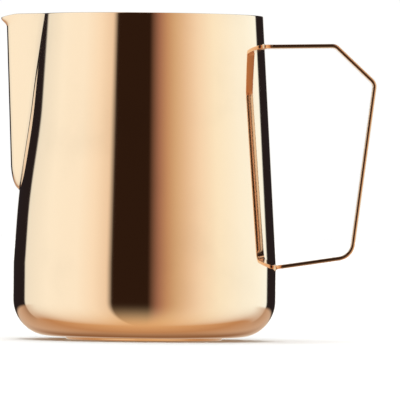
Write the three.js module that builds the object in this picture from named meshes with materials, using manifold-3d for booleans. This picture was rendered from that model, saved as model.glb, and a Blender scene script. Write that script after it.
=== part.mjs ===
// A steaming pitcher for frothing milk: a deep-drawn metal jug with a pressed pouring spout,
// and a thin flat strip bent into an angular handle whose two ends are welded to the wall.
//
// Millimetres, +Z up. The origin is the centre of the foot's flat underside.
// The spout points along -X and the handle along +X, so the part is symmetric about Y = 0.

import * as THREE from "three";
import { mergeVertices } from "three/addons/utils/BufferGeometryUtils.js";
import Module from "manifold-3d";

const wasm = await Module();
wasm.setup();

// ---- Driving dimensions ----

// Jug
const jugHeight = 110; // foot to rim
const bellyRadius = 44.5; // greatest outer radius
const bellyTop = 26; // height where the wall starts to taper
const mouthRadius = 39.3; // outer radius at the rim
const wallThickness = 0.8;
const cornerRadius = 12.4; // outer radius between the wall and the bottom
const footMargin = 5.2; // from the edge of the flat pad that it stands on out to the corner
const footHeight = 1.1;
const footEdge = 0.7; // width of the slope at the pad's edge

// Spout
const spoutLength = 59.3; // from the rim down to where the ridge rises out of the wall
const spoutTopReach = 8.0; // ridge to wall, where the lip starts to flare
const spoutHeelReach = 3.3; // ridge to wall, at the top of its heel
const spoutHeelHeight = 8.5; // the rounded lower end of the ridge
const spoutHalfAngle = 45; // between the middle plane and each side face, in degrees
const spoutNoseRadius = 5; // of the ridge, seen from above
const lipFlare = 1.8; // how far the lip turns out at the tip
const lipFlareHeight = 4.5;
const lipDroop = 1.2; // how far the tip of the lip hangs below the rim
const lipHalfWidth = 8; // the lip's flare and droop fade out here, in degrees about the jug's axis
const creaseRadius = 0.5; // the concave fold between a side face and the wall

// Cheeks: the wall beside the spout, drawn in when the spout is pressed out
const cheekDepth = 1.3;
const cheekBase = 40; // height where they start
const cheekTop = 80; // full depth from this height up to the rim
const cheekInner = 21; // full depth up to here, in degrees from the spout
const cheekOuter = 52; // faded out here

// Handle: one flat strip, bent at three corners
const stripWidth = 14;
const stripThickness = 1.3;
const stripEdgeRadius = 0.5;
const upperJointDrop = 10.3; // from the rim to the middle of the strip's upper end
const lowerJointHeight = 25; // middle of its lower end
const shoulderOut = 23.9; // first corner: out from the upper end, and up
const shoulderUp = 0.5;
const gripTopOut = 37.4; // second corner: out from the upper end, and down
const gripTopDown = 12.1;
const gripBottomOut = 25.4; // third corner: out from the lower end, and up
const gripBottomUp = 3.9;
const shoulderBend = 3; // bend radii along the middle of the strip
const gripTopBend = 3;
const gripBottomBend = 5.5;

// Welds: a bead between each end of the strip and the wall
const weldThroat = 1.0; // thickness of the bead
const weldReveal = 0.3; // how far it stands proud of the strip all round
const weldGap = 0.3; // clearance on both sides of the bead

// ---- Fineness of the mesh ----
const sideColumns = 6; // across each side face of the spout
const cheekColumns = 6; // across each cheek
const backColumns = 17; // round each half of the rest of the jug
const crowding = 1.3; // how strongly the columns crowd towards the ridge and the crease
const narrowestCrease = 8; // the crease's columns come no closer to the ridge than this, in degrees
const cornerSteps = 7;
const roundSteps = 120; // round the solids that the handle's ends are cut with
const bendSteps = 6;
const edgeSteps = 2;
const spoutRows = [0, 0.4, 1.2, 3, 5.5, 9, 16, 26, 36, 46]; // heights above the spout's base
const lipRows = [4.5, 3.4, 2.3, 1.3, 0.5]; // depths below the rim

// ---- Sizes that follow from them ----

const taperSlope = (bellyRadius - mouthRadius) / (jugHeight - bellyTop);
const cornerCentre = bellyRadius - cornerRadius;
const cornerHeight = footHeight + cornerRadius;
const footRadius = cornerCentre - footMargin;
const lipBase = jugHeight - lipFlareHeight;
const spoutBase = jugHeight - spoutLength;
const heelTop = spoutBase + spoutHeelHeight;

// ---- Shaping functions ----

const smooth = THREE.MathUtils.smoothstep;
const radians = THREE.MathUtils.degToRad;

function wallRadius(height) {
  return bellyRadius - taperSlope * Math.max(height - bellyTop, 0);
}

// Distance from the jug's axis to the spout's ridge: a straight line with an elliptical heel.
// Under the spout it carries on inside the wall, where it shapes nothing.
function ridgeReach(height) {
  const share = (height - heelTop) / (lipBase - heelTop);
  const straight = wallRadius(height) + spoutHeelReach + (spoutTopReach - spoutHeelReach) * share;
  const heel = Math.min((height - spoutBase) / spoutHeelHeight, 1);
  const rise = heel > 0 ? Math.sqrt(1 - (1 - heel) ** 2) : Math.max(heel * spoutHeelHeight, -1);
  const foot = wallRadius(spoutBase) - cheekDepthAt(spoutBase);
  return foot + (straight - foot) * rise;
}

function cheekDepthAt(height) {
  return cheekDepth * smooth(height, cheekBase, cheekTop);
}

// Radius of the wall with its cheeks drawn in, angle in degrees from the spout.
function cheekedRadius(angle, height) {
  const share = 1 - smooth(Math.abs(angle), cheekInner, cheekOuter);
  return wallRadius(height) - cheekDepthAt(height) * share;
}

// Radius of the spout's V-shaped outline: a rounded nose, then two straight sides.
function veeRadius(angle, height) {
  const half = radians(spoutHalfAngle);
  const turn = Math.min(radians(Math.abs(angle)), Math.PI / 2 - half);
  const centre = ridgeReach(height) - spoutNoseRadius;
  const tangentX = centre + spoutNoseRadius * Math.sin(half);
  const tangentY = spoutNoseRadius * Math.cos(half);
  if (turn < Math.atan2(tangentY, tangentX)) {
    return centre * Math.cos(turn) + Math.sqrt(spoutNoseRadius ** 2 - (centre * Math.sin(turn)) ** 2);
  }
  const apex = centre + spoutNoseRadius / Math.sin(half);
  return apex * Math.sin(half) / Math.sin(half + turn);
}

// The larger of two radii, with a concave fold of creaseRadius where they cross.
function foldedMax(a, b) {
  const near = Math.max(2 * creaseRadius - Math.abs(a - b), 0) / (2 * creaseRadius);
  return Math.max(a, b) + near ** 2 * creaseRadius / 2;
}

// Radius of the jug's outside, angle in degrees from the spout.
function outsideRadius(angle, height) {
  const wall = cheekedRadius(angle, height);
  const flareShare = 1 - smooth(Math.abs(angle), 0, lipHalfWidth);
  const flare = lipFlare * flareShare * smooth(height, lipBase, jugHeight);
  return foldedMax(wall, veeRadius(angle, height)) + flare;
}

// Angle of the crease between the spout and the cheek, in degrees, found by halving a range.
function creaseAngle(height) {
  const fineness = 0.001;
  let inside = 0;
  let outside = cheekOuter;
  while (outside - inside > fineness) {
    const middle = (inside + outside) / 2;
    if (veeRadius(middle, height) > cheekedRadius(middle, height)) inside = middle;
    else outside = middle;
  }
  return Math.max(inside, narrowestCrease);
}

function lipDrop(angle, height) {
  if (Math.abs(angle) >= lipHalfWidth) return 0;
  const share = (1 + Math.cos(Math.PI * angle / lipHalfWidth)) / 2;
  return lipDroop * share * smooth(height, lipBase, jugHeight);
}

// A point of the jug's outside. The spout, at angle 0, points along -X.
function outsidePoint(angle, height) {
  const reach = outsideRadius(angle, height);
  const turn = radians(angle);
  return new THREE.Vector3(-reach * Math.cos(turn), -reach * Math.sin(turn), height - lipDrop(angle, height));
}

// The point of the inside that faces it, one wall thickness in along the wall's normal.
function insidePoint(angle, height) {
  const step = 0.05;
  const across = outsidePoint(angle + step, height).sub(outsidePoint(angle - step, height));
  const up = outsidePoint(angle, height + step).sub(outsidePoint(angle, height - step));
  const normal = across.cross(up).normalize();
  return outsidePoint(angle, height).addScaledVector(normal, -wallThickness);
}

// ---- Jug body ----

// Heights of the rows of the wall, from the top of the belly to the rim.
function wallRows() {
  const belowSpout = [bellyTop, (bellyTop + spoutBase) / 2, spoutBase - 1];
  const rising = spoutRows.map((rise) => spoutBase + rise);
  const lip = lipRows.map((depth) => jugHeight - depth);
  return [...belowSpout, ...rising.filter((height) => height < lip[0] - 1), ...lip, jugHeight];
}

// Half section of the bottom, from the axis to the top of the corner.
function bottomSection(lift, edge, corner) {
  const section = new THREE.Path();
  const pad = footRadius - lift;
  section.moveTo(0, lift);
  section.lineTo(pad - edge, lift);
  section.lineTo(pad, lift + footHeight);
  section.lineTo(cornerCentre, lift + footHeight);
  section.absarc(cornerCentre, cornerHeight, corner, -Math.PI / 2, 0);
  return section.getPoints(cornerSteps);
}

// Angle of a column of the mesh, counted from the middle of the spout: the columns crowd on the
// ridge and along both sides of the crease, then spread evenly round the back.
function columnAngle(column, height) {
  const crease = creaseAngle(height);
  if (column <= sideColumns) return crease * (column / sideColumns) ** crowding;
  const cheek = column - sideColumns;
  if (cheek <= cheekColumns) return crease + (cheekOuter - crease) * (cheek / cheekColumns) ** crowding;
  return cheekOuter + (180 - cheekOuter) * (cheek - cheekColumns) / backColumns;
}

// A full turn of the section, then each point of the wall moved to where the spout puts it.
function jugBody() {
  const outerBottom = bottomSection(0, footEdge, cornerRadius);
  const innerBottom = bottomSection(wallThickness, footEdge, cornerRadius - wallThickness);
  const rows = wallRows();
  const outerWall = rows.map((height) => new THREE.Vector2(wallRadius(height), height));
  const innerWall = rows.map((height) => new THREE.Vector2(wallRadius(height) - wallThickness, height));
  const section = [...outerBottom, ...outerWall, ...innerWall.reverse(), ...innerBottom.reverse()];
  const halfColumns = sideColumns + cheekColumns + backColumns;
  const geometry = new THREE.LatheGeometry(section, 2 * halfColumns);
  const position = geometry.getAttribute("position");
  for (let i = 0; i < position.count; i++) {
    const column = Math.floor(i / section.length) - halfColumns;
    const row = i % section.length;
    const point = section[row];
    const angle = Math.sign(column) * columnAngle(Math.abs(column), point.y);
    const wallRow = row - outerBottom.length;
    let place;
    if (wallRow >= 0 && wallRow < rows.length) place = outsidePoint(angle, point.y);
    else if (wallRow >= rows.length && wallRow < 2 * rows.length) place = insidePoint(angle, point.y);
    else place = roundPoint(angle, point);
    position.setXYZ(i, place.x, place.y, place.z);
  }
  return geometry;
}

function roundPoint(angle, point) {
  const turn = radians(angle);
  return new THREE.Vector3(-point.x * Math.cos(turn), -point.x * Math.sin(turn), point.y);
}

// ---- Solids for cutting ----

function solidOf(geometry) {
  const bare = geometry.clone();
  bare.deleteAttribute("normal");
  bare.deleteAttribute("uv");
  const merged = mergeVertices(bare);
  const vertProperties = new Float32Array(merged.getAttribute("position").array);
  const triVerts = new Uint32Array(merged.index.array);
  return new wasm.Manifold(new wasm.Mesh({ numProp: 3, vertProperties, triVerts }));
}

function geometryOf(solid) {
  const { vertProperties, triVerts } = solid.getMesh();
  const geometry = new THREE.BufferGeometry();
  geometry.setAttribute("position", new THREE.BufferAttribute(vertProperties, 3));
  geometry.setIndex(new THREE.BufferAttribute(triVerts, 1));
  geometry.computeVertexNormals();
  return geometry;
}

// The jug's round outside grown by a clearance, as a solid to cut the handle's pieces with.
function grownJug(clearance) {
  const bottom = bellyTop - jugHeight / 2;
  const section = [
    new THREE.Vector2(0, bottom),
    new THREE.Vector2(bellyRadius + clearance, bottom),
    new THREE.Vector2(bellyRadius + clearance, bellyTop),
    new THREE.Vector2(mouthRadius + clearance, jugHeight),
    new THREE.Vector2(mouthRadius + clearance, jugHeight + bellyTop),
    new THREE.Vector2(0, jugHeight + bellyTop),
  ];
  const geometry = new THREE.LatheGeometry(section, roundSteps);
  return solidOf(geometry.rotateX(Math.PI / 2));
}

// ---- Handle ----

const upperJointHeight = jugHeight - upperJointDrop;
const upperJoint = new THREE.Vector2(wallRadius(upperJointHeight), upperJointHeight);
const lowerJoint = new THREE.Vector2(wallRadius(lowerJointHeight), lowerJointHeight);
const shoulder = new THREE.Vector2(shoulderOut, shoulderUp).add(upperJoint);
const gripTop = new THREE.Vector2(gripTopOut, -gripTopDown).add(upperJoint);
const gripBottom = new THREE.Vector2(gripBottomOut, gripBottomUp).add(lowerJoint);
const upperRun = shoulder.clone().sub(upperJoint).normalize();
const lowerRun = lowerJoint.clone().sub(gripBottom).normalize();

// One bend of the strip: its centre, and the directions in which it starts and ends.
function bend(before, corner, after, radius) {
  const into = corner.clone().sub(before).normalize();
  const out = after.clone().sub(corner).normalize();
  const turn = Math.acos(into.dot(out));
  const centre = corner.clone().addScaledVector(into, -radius * Math.tan(turn / 2));
  centre.add(new THREE.Vector2(into.y, -into.x).multiplyScalar(radius));
  return { centre, radius, from: Math.atan2(into.x, -into.y), to: Math.atan2(out.x, -out.y) };
}

// Side view of the strip, both ends run on into the wall to be cut to it afterwards.
function stripOutline() {
  const start = upperJoint.clone().addScaledVector(upperRun, -stripWidth / 2);
  const end = lowerJoint.clone().addScaledVector(lowerRun, stripWidth / 2);
  const half = stripThickness / 2;
  const bends = [
    bend(start, shoulder, gripTop, shoulderBend),
    bend(shoulder, gripTop, gripBottom, gripTopBend),
    bend(gripTop, gripBottom, end, gripBottomBend),
  ];
  const startSide = new THREE.Vector2(-upperRun.y, upperRun.x).multiplyScalar(half);
  const endSide = new THREE.Vector2(-lowerRun.y, lowerRun.x).multiplyScalar(half);
  const outline = new THREE.Shape();
  outline.moveTo(start.x + startSide.x, start.y + startSide.y);
  for (const { centre, radius, from, to } of bends) {
    outline.absarc(centre.x, centre.y, radius + half, from, to, true);
  }
  outline.lineTo(end.x + endSide.x, end.y + endSide.y);
  outline.lineTo(end.x - endSide.x, end.y - endSide.y);
  for (const { centre, radius, from, to } of bends.reverse()) {
    outline.absarc(centre.x, centre.y, radius - half, to, from, false);
  }
  outline.lineTo(start.x - startSide.x, start.y - startSide.y);
  return outline;
}

function handleStrip() {
  const geometry = new THREE.ExtrudeGeometry(stripOutline(), {
    depth: stripWidth - 2 * stripEdgeRadius,
    curveSegments: bendSteps,
    bevelThickness: stripEdgeRadius,
    bevelSize: stripEdgeRadius,
    bevelOffset: -stripEdgeRadius,
    bevelSegments: edgeSteps,
  });
  geometry.rotateX(Math.PI / 2);
  geometry.translate(0, stripWidth / 2 - stripEdgeRadius, 0);
  return geometryOf(solidOf(geometry).subtract(grownJug(2 * weldGap + weldThroat)));
}

// ---- Welds ----

// A bead round one end of the strip, with the wall's curve on its inner and outer side.
function weldBead(joint, run) {
  const reach = stripWidth / 2 + weldReveal;
  const half = stripThickness / 2 + weldReveal;
  const section = new THREE.Shape();
  section.absarc(reach - half, 0, half, -Math.PI / 2, Math.PI / 2);
  section.absarc(half - reach, 0, half, Math.PI / 2, 3 * Math.PI / 2);
  const depth = stripWidth; // enough to pass right through the bead's place
  const block = new THREE.ExtrudeGeometry(section, { depth, curveSegments: bendSteps, bevelEnabled: false });
  block.translate(0, 0, -depth / 2);
  block.applyMatrix4(
    new THREE.Matrix4().makeBasis(
      new THREE.Vector3(0, 1, 0),
      new THREE.Vector3(-run.y, 0, run.x),
      new THREE.Vector3(run.x, 0, run.y),
    ),
  );
  block.translate(joint.x, 0, joint.y);
  const bead = solidOf(block).intersect(grownJug(weldGap + weldThroat)).subtract(grownJug(weldGap));
  return geometryOf(bead);
}

// ---- Assembly ----

function copperFinish(color, roughness) {
  return new THREE.MeshStandardMaterial({ color, roughness, metalness: 1 });
}

const pitcher = new THREE.Group();

function addPiece(name, geometry, material) {
  const mesh = new THREE.Mesh(geometry, material);
  mesh.name = name;
  pitcher.add(mesh);
}

addPiece("jug_body", jugBody(), copperFinish(0xe0a57c, 0.05));
addPiece("handle_strip", handleStrip(), copperFinish(0xd89c72, 0.08));
addPiece("upper_weld", weldBead(upperJoint, upperRun), copperFinish(0xcf9469, 0.25));
addPiece("lower_weld", weldBead(lowerJoint, lowerRun.clone().negate()), copperFinish(0xcf9469, 0.25));

export default pitcher;
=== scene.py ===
# %% [markdown]
# # A milk frothing pitcher in mirror-polished copper finish
#
# The object is a steaming jug: a shell drawn from one disc of steel, with a foot and a pouring
# spout pressed into the same sheet, and an open handle bent from one flat strip. The whole outside has
# a thin copper-coloured coating over a mirror polish. A mirror shows its own shape through what it
# reflects, so the two things that matter most here are a very smooth surface and a studio worth
# reflecting.
#
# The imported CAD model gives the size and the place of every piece. This script loads it, then
# builds a finer piece over each CAD solid.

# %% Load the frame
import math

import bmesh
import bpy
from mathutils import Matrix, Vector


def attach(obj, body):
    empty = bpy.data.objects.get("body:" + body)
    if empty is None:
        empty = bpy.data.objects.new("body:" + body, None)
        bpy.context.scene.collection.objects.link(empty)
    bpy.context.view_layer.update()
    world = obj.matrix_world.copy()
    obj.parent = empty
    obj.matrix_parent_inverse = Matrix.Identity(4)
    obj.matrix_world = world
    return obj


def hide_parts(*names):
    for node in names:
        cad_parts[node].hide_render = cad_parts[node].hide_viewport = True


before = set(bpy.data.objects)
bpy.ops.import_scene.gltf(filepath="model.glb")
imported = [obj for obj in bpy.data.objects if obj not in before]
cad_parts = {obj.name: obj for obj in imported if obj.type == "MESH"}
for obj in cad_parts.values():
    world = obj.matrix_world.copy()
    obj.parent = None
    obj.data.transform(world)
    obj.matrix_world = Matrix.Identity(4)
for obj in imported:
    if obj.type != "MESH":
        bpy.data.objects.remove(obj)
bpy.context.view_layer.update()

print("nodes", sorted(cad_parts))

# %% [markdown]
# ## The camera
#
# The view is level, square to the plane that holds the spout and the handle, from far away with a
# long lens, as a studio camera stands. A long lens keeps the sides of the jug nearly
# parallel. The lens follows from one size: how wide a stretch the picture spans at the jug's axis. The
# camera is rolled by a little over half a degree, as a camera set up by eye is.

# %% Camera
mm = 0.001
view_distance = 2400 * mm
view_height = 47.6 * mm
view_side = 18.5 * mm  # the camera stands this far towards the handle from the jug's axis
view_span = 135.6 * mm  # width of the picture at the axis
view_roll = math.radians(-0.6)

camera = bpy.data.objects.new("camera", bpy.data.cameras.new("camera"))
bpy.context.scene.collection.objects.link(camera)
camera.location = (view_side, -view_distance, view_height)
camera.rotation_euler = (math.pi / 2, view_roll, 0)
camera.data.lens = camera.data.sensor_width * view_distance / view_span
camera.data.clip_end = 20
bpy.context.scene.camera = camera
bpy.context.scene.view_settings.view_transform = "Standard"
print("lens in mm", round(camera.data.lens, 1))

# %% [markdown]
# ## Shader maths as Python expressions
#
# A node tree is a calculation drawn as boxes and wires. It reads better as an expression, so this
# class wraps a socket, and every operator on it adds the Math node that does the same. Any other node
# comes from `Tree.node`, which takes its settings, then the values or links of its sockets.

# %% Shader helpers
class Value:
    """A socket that can be calculated with."""

    def __init__(self, tree, socket):
        self.tree = tree
        self.socket = socket

    def math(self, operation, *others):
        inputs = {i: other for i, other in enumerate((self, *others))}
        return self.tree.node("ShaderNodeMath", {"operation": operation}, inputs)

    def __add__(self, other):
        return self.math("ADD", other)

    def __sub__(self, other):
        return self.math("SUBTRACT", other)

    def __mul__(self, other):
        return self.math("MULTIPLY", other)

    def __truediv__(self, other):
        return self.math("DIVIDE", other)

    def __pow__(self, other):
        return self.math("POWER", other)

    def __neg__(self):
        return self.math("MULTIPLY", -1)

    def __rsub__(self, other):
        return (-self) + other

    __radd__ = __add__
    __rmul__ = __mul__


class Tree:
    """A node tree that is filled by expressions."""

    def __init__(self, owner):
        owner.use_nodes = True
        self.nodes = owner.node_tree.nodes
        self.links = owner.node_tree.links
        self.nodes.clear()

    def node(self, kind, settings=None, inputs=None, output=0):
        made = self.nodes.new(kind)
        for name, value in (settings or {}).items():
            if name == "stops":
                set_stops(made.color_ramp, value)
            else:
                setattr(made, name, value)
        for key, value in (inputs or {}).items():
            if isinstance(value, Value):
                self.links.new(value.socket, made.inputs[key])
            else:
                made.inputs[key].default_value = value
        return Value(self, made.outputs[output]) if made.outputs else made

    def ramp(self, value, *stops):
        return self.node("ShaderNodeValToRGB", {"stops": stops}, {0: value})

    def step(self, value, start, end):
        """0 up to start, 1 from end, smooth between them."""
        settings = {"interpolation_type": "SMOOTHSTEP"}
        return self.node("ShaderNodeMapRange", settings, {0: value, 1: start, 2: end, 3: 0.0, 4: 1.0})

    def mix(self, factor, a, b):
        inputs = {0: factor, 6: a, 7: b}
        return self.node("ShaderNodeMix", {"data_type": "RGBA"}, inputs, output=2)


def set_stops(ramp, stops):
    while len(ramp.elements) > 1:
        ramp.elements.remove(ramp.elements[-1])
    for i, (place, colour) in enumerate(stops):
        element = ramp.elements[0] if i == 0 else ramp.elements.new(place)
        element.position = place
        element.color = (*colour, 1.0)


print("shader helpers ready")

# %% [markdown]
# ## The studio
#
# A mirror has no colour of its own to show: it shows the room. A studio lights polished metal
# with large white cards, and leaves dark gaps between them, so that the metal has bright faces and
# crisp dark edges. The cards here are painted on the world by direction. One ramp goes round the
# horizon: a wide card on the left with sharp ends, a gap in front where the camera stands, a soft
# rise into a second card on the right, and dark flags behind with a strip of light between them.
# A second ramp is the table, from its front to its back; its darkening towards the back is painted shade.
# In front it fades in softly below the horizon, and behind the jug it has a clear edge. Straight behind and
# low it is darker still: painted shade where the jug would shade the table.
#
# The three kinds of ray see different studios: the camera sees a plain pale backdrop, the floor is lit
# by a soft strip of light that runs overhead from front to back, and the metal reflects the cards.

# %% Tones round the horizon, by degrees from the camera, positive to its right
full_light = 1.4  # the tones below are divided by this, because a ramp holds no more than 1
dark_flag = (0.020, 0.016, 0.018)
camera_gap = (0.028, 0.014, 0.008)
round_tones = (
    (-180, (0.95, 0.95, 0.90)), (-172, (0.95, 0.95, 0.90)),
    (-169, dark_flag), (-131, dark_flag),
    (-129, (0.92, 1.03, 1.00)), (-95, (1.06, 1.18, 1.14)), (-62, (1.06, 1.15, 1.09)),
    (-46, (1.03, 1.03, 0.91)), (-33, (0.92, 0.84, 0.69)),
    (-28, camera_gap), (3.5, camera_gap),
    (6, (0.12, 0.066, 0.044)), (13, (0.40, 0.216, 0.148)), (20.5, (0.60, 0.39, 0.23)),
    (28, (0.72, 0.55, 0.35)), (36, (0.83, 0.68, 0.49)), (44, (0.92, 0.82, 0.65)),
    (52, (0.99, 0.95, 0.80)), (69, (1.05, 1.14, 1.03)), (98, (1.06, 1.24, 1.24)),
    (136, (1.07, 1.30, 1.35)), (138, dark_flag),
    (169, dark_flag), (172, (0.95, 0.95, 0.90)),
)

# %% Tones of the table that the underside reflects, by how far away from the camera they lie
# From the front towards the back these tones grow darker: painted shade of the table lying in the jug's
# shadow.
table_tones = (
    (-0.95, (0.90, 0.78, 0.54)), (-0.50, (0.84, 0.64, 0.38)), (-0.24, (0.80, 0.56, 0.31)),
    (0.0, (0.71, 0.46, 0.24)), (0.39, (0.56, 0.33, 0.17)), (0.68, (0.60, 0.42, 0.28)),
    (0.98, (0.66, 0.51, 0.39)),
)

# %% World
world = bpy.data.worlds.new("studio")
bpy.context.scene.world = world
studio = Tree(world)


def tone_ramp(value, tones, low, high):
    """A ramp over a value between low and high."""
    reach = high - low
    dimmed = [
        ((place - low) / reach, tuple(part / full_light for part in tone))
        for place, tone in tones
    ]
    return studio.ramp((value - low) / reach, *dimmed)


direction = studio.node("ShaderNodeTexCoord", output=0)
split = studio.node("ShaderNodeSeparateXYZ", {}, {0: direction})
right, away, up = (Value(studio, output) for output in split.socket.node.outputs)
round_angle = right.math("ARCTAN2", -away) * (180 / math.pi)
horizon = tone_ramp(round_angle, round_tones, -180, 180)
table = tone_ramp(away, table_tones, -1, 1)

down = -up
aside = right.math("ABSOLUTE")
fade_in = 2.5  # the power with which the near table fades in
full_table = 1 - 0.5 * studio.step(away, -0.2, 0.6)  # from this far down there is only table
near_table = (down.math("MAXIMUM", 0.0) / full_table) ** fade_in
far_table = studio.step(down, 0.10, 0.17)
far = studio.step(away, 0.35, 0.85)
on_table = near_table.math("MINIMUM", 1.0) * (1 - far) + far_table * far

# Painted shade: straight behind and low, the table that mirrors see is darkened to this tone, where the jug
# would shade it.
shade = (0.20, 0.10, 0.045, 1.0)
shaded = studio.step(away, 0.3, 0.9) * studio.step(down, 0.15, 0.5) * (1 - studio.step(aside, 0.12, 0.4))
table = studio.mix(shaded, table, shade)

ceiling = (0.16, 0.13, 0.10, 1.0)
overhead = studio.step(up, 0.80, 0.97)
cards = studio.mix(overhead, studio.mix(on_table, horizon, table), ceiling)

seen = studio.node("ShaderNodeLightPath")
paths = seen.socket.node.outputs
is_camera = Value(studio, paths["Is Camera Ray"])
is_diffuse = Value(studio, paths["Is Diffuse Ray"])
strip_light = (2.1, 2.1, 2.1, 1.0)
side_light = (0.35, 0.35, 0.35, 1.0)
backdrop = (0.72, 0.72, 0.72, 1.0)
floor_light = studio.mix(studio.step(aside, 0.1, 0.5), strip_light, side_light)
colour = studio.mix(is_camera, studio.mix(is_diffuse, cards, floor_light), backdrop)
background = studio.node("ShaderNodeBackground", {}, {0: colour, 1: full_light})
studio.node("ShaderNodeOutputWorld", {}, {0: background})
print("studio nodes", len(studio.nodes))

# %% Floor
floor_reach = 6  # metres, from the middle to each side
floor_drop = 0.1 * mm  # keeps the floor just clear of the foot


def stage_floor():
    """A wide pale table. Mirrors don't see it: they see the table tones of the studio."""
    bm = bmesh.new()
    bmesh.ops.create_grid(bm, x_segments=1, y_segments=1, size=floor_reach)
    bmesh.ops.translate(bm, verts=bm.verts, vec=(0, 0, -floor_drop))
    mesh = bpy.data.meshes.new("floor")
    bm.to_mesh(mesh)
    bm.free()
    floor = bpy.data.objects.new("floor", mesh)
    bpy.context.scene.collection.objects.link(floor)
    floor.visible_glossy = False
    paint = bpy.data.materials.new("pale_table")
    tree = Tree(paint)
    shader = tree.node("ShaderNodeBsdfDiffuse", {}, {0: (0.82, 0.82, 0.82, 1.0)})
    tree.node("ShaderNodeOutputMaterial", {}, {0: shader})
    mesh.materials.append(paint)
    return floor


stage_floor()
print("floor laid")

# %% [markdown]
# ## How a piece is finished
#
# Every piece is modelled in millimetres with bmesh, at its place in the jug's frame. One helper then
# scales it to metres, shades it smooth, gives it its materials and ties it to the frame. The object
# itself stays at the origin, so its place is in its mesh.

# %% Piece helper
def finish_piece(name, bm, materials, replaced):
    bmesh.ops.scale(bm, vec=(mm, mm, mm), verts=bm.verts)
    mesh = bpy.data.meshes.new(name)
    bm.to_mesh(mesh)
    bm.free()
    mesh.shade_smooth()
    for material in materials:
        mesh.materials.append(material)
    piece = bpy.data.objects.new(name, mesh)
    bpy.context.scene.collection.objects.link(piece)
    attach(piece, "root")
    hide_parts(replaced)
    print(name, len(mesh.vertices), "vertices", len(mesh.polygons), "faces")
    return piece


# %% [markdown]
# ## The coating
#
# The real finish is a coat only microns thick over polished steel: a metal with a warm tint. A
# metal in a path tracer is one tinted mirror lobe, so nearly all of the look is in how rough it is
# and how true its surface is. Buffing leaves hair-fine lines round the jug and a faint waviness where the
# sheet was drawn. Both are far too small to model, so noise, stretched round the jug, sets a
# small change in roughness, and a shallow bump bends the reflections.

# %% Coating
copper = (0.93, 0.68, 0.50)


def coating(name, tint, roughness, spread, grain, bump_depth, drawn_depth=0.0):
    """A tinted metal. grain stretches the fine lines: small numbers make long lines."""
    material = bpy.data.materials.new(name)
    tree = Tree(material)
    place = tree.node("ShaderNodeTexCoord", output=3)
    lined = tree.node("ShaderNodeMapping", {}, {0: place, 3: grain})
    lines = tree.node("ShaderNodeTexNoise", {}, {"Vector": lined, "Scale": 900.0, "Detail": 5.0})
    haze = tree.node("ShaderNodeTexNoise", {}, {"Vector": place, "Scale": 28.0, "Detail": 4.0})
    rough = roughness + spread * (lines - 0.5) + spread * tree.step(haze, 0.45, 0.75)
    dull = tuple(0.93 * part for part in tint)
    colour = tree.mix(tree.step(haze, 0.5, 0.8), (*tint, 1.0), (*dull, 1.0))
    wave = tree.node("ShaderNodeTexNoise", {}, {"Vector": place, "Scale": 45.0, "Detail": 1.0})
    height = lines * bump_depth + wave * drawn_depth
    bump = tree.node("ShaderNodeBump", {}, {"Strength": 1.0, "Distance": 1.0, "Height": height})
    shader = tree.node("ShaderNodeBsdfPrincipled", {}, {
        "Base Color": colour, "Metallic": 1.0, "Roughness": rough, "Normal": bump,
    })
    tree.node("ShaderNodeOutputMaterial", {}, {0: shader})
    print("material", name)
    return material


mirror_coat = coating("mirror_coat", copper, 0.045, 0.02, (1, 1, 14), 2e-8, 2e-6)
inside_coat = coating("brushed_inside", copper, 0.30, 0.10, (0.6, 0.6, 60), 1.5e-6)
handle_coat = coating("handle_coat", copper, 0.11, 0.04, (1, 0.05, 1), 1e-7)
weld_coat = coating("weld_coat", (0.87, 0.61, 0.43), 0.26, 0.10, (1, 1, 1), 4e-6)

# %% [markdown]
# ## The jug's shape
#
# The wall starts as a plain turned shape and the spout is pressed out of it. Seen from above,
# the spout is a V with a rounded nose, and where its sides meet the wall there is a soft fold.
# Beside the fold the wall is drawn in a little, as the sheet gives way to the press. All of this is a
# formula for the radius at a height and an angle, with angle 0 at the spout.

# %% Sizes of the jug in millimetres
jug_height = 110.0
belly_radius = 44.5
belly_top = 26.0
mouth_radius = 39.3
wall_thickness = 0.8
corner_radius = 12.4
foot_margin = 5.2
foot_height = 1.1
foot_edge = 0.7

spout_length = 59.3
spout_top_reach = 8.0
spout_heel_reach = 3.3
spout_heel_height = 8.5
spout_half_angle = math.radians(45)
spout_nose_radius = 5.0
lip_flare = 1.8
lip_flare_height = 4.5
lip_droop = 1.2
lip_half_width = 8.0  # degrees, as all the angles below
crease_radius = 0.5
cheek_depth = 1.3
cheek_base = 40.0
cheek_top = 80.0
cheek_inner = 21.0
cheek_outer = 52.0

taper_slope = (belly_radius - mouth_radius) / (jug_height - belly_top)
corner_centre = belly_radius - corner_radius
corner_height = foot_height + corner_radius
foot_radius = corner_centre - foot_margin
lip_base = jug_height - lip_flare_height
spout_base = jug_height - spout_length
heel_top = spout_base + spout_heel_height
print("foot across", round(2 * foot_radius, 1), "spout starts at", round(spout_base, 1))


# %% Shaping formulas
def smooth(value, start, end):
    share = min(max((value - start) / (end - start), 0), 1)
    return share * share * (3 - 2 * share)


def wall_radius(height):
    return belly_radius - taper_slope * max(height - belly_top, 0)


def cheek_depth_at(height):
    return cheek_depth * smooth(height, cheek_base, cheek_top)


def ridge_reach(height):
    """From the axis to the spout's ridge: a straight line with an elliptical heel."""
    share = (height - heel_top) / (lip_base - heel_top)
    straight = wall_radius(height) + spout_heel_reach + (spout_top_reach - spout_heel_reach) * share
    heel = min((height - spout_base) / spout_heel_height, 1)
    rise = math.sqrt(1 - (1 - heel) ** 2) if heel > 0 else max(heel * spout_heel_height, -1)
    foot = wall_radius(spout_base) - cheek_depth_at(spout_base)
    return foot + (straight - foot) * rise


def cheeked_radius(angle, height):
    return wall_radius(height) - cheek_depth_at(height) * (1 - smooth(abs(angle), cheek_inner, cheek_outer))


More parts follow.
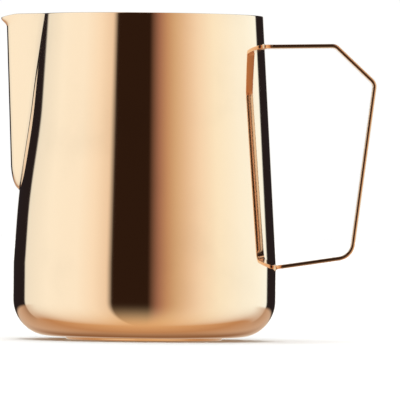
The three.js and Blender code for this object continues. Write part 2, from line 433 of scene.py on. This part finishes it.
def vee_radius(angle, height):
    turn = min(math.radians(abs(angle)), math.pi / 2 - spout_half_angle)
    centre = ridge_reach(height) - spout_nose_radius
    tangent_x = centre + spout_nose_radius * math.sin(spout_half_angle)
    tangent_y = spout_nose_radius * math.cos(spout_half_angle)
    if turn < math.atan2(tangent_y, tangent_x):
        return centre * math.cos(turn) + math.sqrt(spout_nose_radius**2 - (centre * math.sin(turn)) ** 2)
    apex = centre + spout_nose_radius / math.sin(spout_half_angle)
    return apex * math.sin(spout_half_angle) / math.sin(spout_half_angle + turn)


def folded_max(a, b):
    near = max(2 * crease_radius - abs(a - b), 0) / (2 * crease_radius)
    return max(a, b) + near**2 * crease_radius / 2


def outside_radius(angle, height):
    flare_share = 1 - smooth(abs(angle), 0, lip_half_width)
    flare = lip_flare * flare_share * smooth(height, lip_base, jug_height)
    return folded_max(cheeked_radius(angle, height), vee_radius(angle, height)) + flare


def lip_drop(angle, height):
    if abs(angle) >= lip_half_width:
        return 0
    share = (1 + math.cos(math.pi * angle / lip_half_width)) / 2
    return lip_droop * share * smooth(height, lip_base, jug_height)


print("radius at the tip", round(outside_radius(0, jug_height), 2))

# %% [markdown]
# ## Columns that follow the fold
#
# A turned mesh has evenly spaced columns, but the shape is sharpest at the ridge and at the fold. So
# each column is slid round the jug: a fixed number of them lies on each side of the spout, the next
# ones on the cheek, and the rest go round the back. The columns then run along the fold instead
# of across it, and the reflections stay clean.

# %% Columns
side_columns = 34
cheek_columns = 36
back_columns = 62
half_columns = side_columns + cheek_columns + back_columns
crowding = 1.3  # how strongly the columns crowd towards the ridge and the fold
narrowest_crease = 8.0  # the fold's columns come no closer to the ridge than this
fineness = 0.001


def crease_angle(height):
    """Where the side of the spout meets the cheek, by halving a range."""
    inside, outside = 0.0, cheek_outer
    while outside - inside > fineness:
        middle = (inside + outside) / 2
        if vee_radius(middle, height) > cheeked_radius(middle, height):
            inside = middle
        else:
            outside = middle
    return max(inside, narrowest_crease)


def column_angle(column, crease):
    if column <= side_columns:
        return crease * (column / side_columns) ** crowding
    cheek = column - side_columns
    if cheek <= cheek_columns:
        return crease + (cheek_outer - crease) * (cheek / cheek_columns) ** crowding
    return cheek_outer + (180 - cheek_outer) * (cheek - cheek_columns) / back_columns


print("crease at mid height", round(crease_angle(80), 1), "degrees from the ridge")

# %% [markdown]
# ## The jug body
#
# One half section is drawn as a chain of vertices: the pad that it stands on, the rounded corner,
# which is a vertex spun about the corner's centre, and the wall. Spun once round the axis, it is the turned
# blank. Then every vertex moves to where the press puts it. The shell is only the outside;
# a Solidify modifier gives the sheet its thickness, and a Bevel rounds the cut edge of the rim.

# %% Half section
pad_round = 0.45  # rounds the two edges of the pad's side
corner_steps = 18


def draw_section():
    """Vertices from the axis, along the underside, up to the rim, on the side of the spout."""
    bm = bmesh.new()
    chain = [bm.verts.new((0, 0, 0))]

    def line_to(radius, height, steps=1):
        start = chain[-1].co.copy()
        stride = (Vector((-radius, 0, height)) - start) / steps
        for _ in range(steps):
            chain.extend(bmesh.ops.extrude_vert_indiv(bm, verts=[chain[-1]])["verts"])
            bmesh.ops.translate(bm, vec=stride, verts=[chain[-1]])

    line_to(foot_radius - foot_edge, 0, steps=7)
    pad_edge = chain[-1]
    line_to(foot_radius, foot_height)
    step_top = chain[-1]
    line_to(corner_centre, foot_height, steps=4)
    turned = bmesh.ops.spin(
        bm, geom=[chain[-1]], cent=(-corner_centre, 0, corner_height), axis=(0, 1, 0),
        dvec=(0, 0, 0), angle=math.pi / 2, steps=corner_steps, use_merge=False, use_duplicate=False,
    )
    chain.append([item for item in turned["geom_last"] if isinstance(item, bmesh.types.BMVert)][0])
    stretches = ((belly_top, 5), (spout_base - 3, 7), (heel_top + 4, 35), (lip_base, 33), (jug_height, 14))
    for top, steps in stretches:
        line_to(wall_radius(top), top, steps)
    bmesh.ops.bevel(
        bm, geom=[pad_edge, step_top], offset=pad_round, segments=4, profile=0.5,
        affect="VERTICES", material=-1,
    )
    return bm


section = draw_section()
highest = max(section.verts, key=lambda vert: vert.co.z)
print("section points", len(section.verts), "rim at", tuple(round(side, 2) for side in highest.co))


# %% Jug body
merge_distance = 1e-4
rim_round = 0.28
rim_angle = math.radians(50)  # only the cut edge of the rim is sharper than this


def press_spout(bm):
    """Moves the turned blank's vertices to the pressed shape."""
    creases = {}
    for vert in bm.verts:
        radius = math.hypot(vert.co.x, vert.co.y)
        if radius < fineness:
            continue
        height = vert.co.z
        key = round(height, 3)
        if key not in creases:
            creases[key] = crease_angle(height)
        turn = math.degrees(math.atan2(vert.co.y, -vert.co.x))
        column = abs(turn) * half_columns / 180
        angle = math.copysign(column_angle(column, creases[key]), turn)
        if height > belly_top:
            radius = outside_radius(angle, height)
            height -= lip_drop(angle, height)
        vert.co = (-radius * math.cos(math.radians(angle)), radius * math.sin(math.radians(angle)), height)


def jug_body(bm):
    bmesh.ops.spin(
        bm, geom=bm.verts[:] + bm.edges[:], cent=(0, 0, 0), axis=(0, 0, 1), dvec=(0, 0, 0),
        angle=2 * math.pi, steps=2 * half_columns, use_merge=True, use_duplicate=False,
    )
    bmesh.ops.remove_doubles(bm, verts=bm.verts, dist=merge_distance)
    press_spout(bm)
    bmesh.ops.recalc_face_normals(bm, faces=bm.faces)
    pad = min(bm.faces, key=lambda face: face.calc_center_median().length)
    if pad.normal.z > 0:
        bmesh.ops.reverse_faces(bm, faces=bm.faces)
    piece = finish_piece("pitcher_body", bm, (mirror_coat, inside_coat), "jug_body")
    wall = piece.modifiers.new("sheet", "SOLIDIFY")
    wall.thickness = wall_thickness * mm
    wall.offset = -1
    wall.use_even_offset = True
    wall.material_offset = 1
    rim = piece.modifiers.new("rim", "BEVEL")
    rim.width = rim_round * mm
    rim.segments = 3
    rim.limit_method = "ANGLE"
    rim.angle_limit = rim_angle
    return piece


jug_body(section)

# %% [markdown]
# ## The handle
#
# The handle is one flat strip with softly rounded edges, bent at three corners. A press brake leaves
# a bend as an arc between two straight runs, so the strip is made in the same way: its section is a
# small face, and the outline of that face is extruded along each run and spun round each bend. Only the
# outline travels, because a face that is extruded again and again leaves copies of itself inside.
# Both ends then follow the curve of the wall that they are welded to.

# %% Sizes of the handle in millimetres
strip_width = 14.0
strip_thickness = 1.3
strip_edge_radius = 0.2
strip_crown_radius = 1.5  # the rolled edges are slightly crowned across the strip's thickness
upper_joint_drop = 10.3
lower_joint_height = 25.0
end_depth = 0.15  # how far the strip's ends are fused into the wall
end_reach = 1.0  # an end is whatever lies nearer to its joint than this along X
end_height = 5  # and nearer than this in height
run_steps = 6  # along each straight run
bend_steps = 14
hair = 0.01  # a vertex as near as this to the strip's edge counts as on it

upper_height = jug_height - upper_joint_drop
upper_joint = Vector((wall_radius(upper_height), 0, upper_height))
lower_joint = Vector((wall_radius(lower_joint_height), 0, lower_joint_height))
shoulder = upper_joint + Vector((23.9, 0, 0.5))
grip_top = upper_joint + Vector((37.4, 0, -12.1))
grip_bottom = lower_joint + Vector((25.4, 0, 3.9))
corners = ((shoulder, 3.0), (grip_top, 3.0), (grip_bottom, 5.5))  # with their bend radii
print("grip leans by", round(math.degrees((grip_top - grip_bottom).angle(Vector((0, 0, 1)))), 1), "degrees")


# %% Handle strip
def strip_section(bm):
    """A flat face round the origin, as wide as the strip across Y, with crowned ends."""
    made = bmesh.ops.create_grid(bm, x_segments=10, y_segments=13, size=0.5)
    bmesh.ops.scale(bm, vec=(strip_thickness, strip_width, 1), verts=made["verts"])
    sharp = [vert for vert in made["verts"] if len(vert.link_edges) == 2]
    for vert in made["verts"]:
        if abs(vert.co.y) > strip_width / 2 - hair:
            fall = strip_crown_radius - math.sqrt(strip_crown_radius**2 - vert.co.x**2)
            vert.co.y -= math.copysign(fall, vert.co.y)
    bmesh.ops.bevel(
        bm, geom=sharp, offset=strip_edge_radius, segments=3, profile=0.5,
        affect="VERTICES", material=-1,
    )


def strip_frame(centre, run):
    """Carries a section from the origin to a place on the strip, to face along its run."""
    across = Vector((0, 1, 0))
    place = Matrix((across.cross(run), across, run)).transposed().to_4x4()
    place.translation = centre
    return place


def open_edges(bm):
    """The outline of a section, or of the open end that has been run out from it."""
    return [edge for edge in bm.edges if edge.is_boundary]


def run_to(bm, offset, steps=1):
    """Extrudes the open outline by an offset, and gives its new vertices."""
    for _ in range(steps):
        made = bmesh.ops.extrude_edge_only(bm, edges=open_edges(bm))
        verts = [item for item in made["geom"] if isinstance(item, bmesh.types.BMVert)]
        bmesh.ops.translate(bm, vec=offset / steps, verts=verts)
    return verts


def follow_wall(bm, joint):
    """Slides the strip's end along X until it lies just inside the wall."""
    for vert in bm.verts:
        if vert.co.x < joint.x + end_reach and abs(vert.co.z - joint.z) < end_height:
            reach = wall_radius(vert.co.z) - end_depth
            vert.co.x = math.sqrt(reach**2 - vert.co.y**2)


def handle_strip():
    bm = bmesh.new()
    here = upper_joint
    run = (shoulder - upper_joint).normalized()
    strip_section(bm)
    bmesh.ops.transform(bm, matrix=strip_frame(here, run), verts=bm.verts)
    stops = [corner for corner, _ in corners] + [lower_joint]
    for i, (corner, radius) in enumerate(corners):
        after = (stops[i + 1] - corner).normalized()
        turn = run.angle(after)
        lead = radius * math.tan(turn / 2)
        run_to(bm, corner - run * lead - here, run_steps)
        side = Vector((run.z, 0, -run.x))
        centre = corner - run * lead + side * radius
        bmesh.ops.spin(
            bm, geom=open_edges(bm), cent=centre, axis=(0, 1, 0), dvec=(0, 0, 0), angle=turn,
            steps=bend_steps, use_merge=False, use_duplicate=False,
        )
        here = corner + after * lead
        run = after
    run_to(bm, lower_joint - here, run_steps)
    bmesh.ops.holes_fill(bm, edges=open_edges(bm), sides=0)
    follow_wall(bm, upper_joint)
    follow_wall(bm, lower_joint)
    bmesh.ops.recalc_face_normals(bm, faces=bm.faces)
    return finish_piece("handle_bar", bm, (handle_coat,), "handle_strip")


handle_strip()

# %% [markdown]
# ## The welds
#
# Each end of the strip is fused to the wall by a small bead that runs right round it. Such a bead is a
# hollow fillet: wide on the wall, then quickly down to the strip's own thickness. It is made as a
# collar, the strip's section grown on the wall and shrunk in steps as it comes out.

# %% Weld beads
weld_spread = 0.4  # how far the bead reaches over the wall, round the strip
weld_height = 0.6  # how far it climbs along the strip
weld_cover = 0.02  # keeps the collar's thin end just outside the strip
weld_steps = 5


def weld_bead(name, node, joint, run):
    bm = bmesh.new()
    strip_section(bm)
    sides = (strip_thickness, strip_width)

    def grown(step):
        growth = 2 * weld_spread * (1 - step / weld_steps) ** 2 + 2 * weld_cover
        return tuple(side + growth for side in sides)

    bmesh.ops.scale(bm, vec=(grown(0)[0] / sides[0], grown(0)[1] / sides[1], 1), verts=bm.verts)
    for step in range(1, weld_steps + 1):
        outline = run_to(bm, Vector((0, 0, weld_height / weld_steps)))
        before, after = grown(step - 1), grown(step)
        bmesh.ops.scale(bm, vec=(after[0] / before[0], after[1] / before[1], 1), verts=outline)
    bmesh.ops.holes_fill(bm, edges=open_edges(bm), sides=0)
    for vert in bm.verts:
        curve = joint.x - math.sqrt(joint.x**2 - vert.co.y**2)
        vert.co.z -= curve + end_depth
    bmesh.ops.transform(bm, matrix=strip_frame(joint, run), verts=bm.verts)
    bmesh.ops.recalc_face_normals(bm, faces=bm.faces)
    return finish_piece(name, bm, (weld_coat,), node)


weld_bead("upper_bead", "upper_weld", upper_joint, (shoulder - upper_joint).normalized())
weld_bead("lower_bead", "lower_weld", lower_joint, (grip_bottom - lower_joint).normalized())
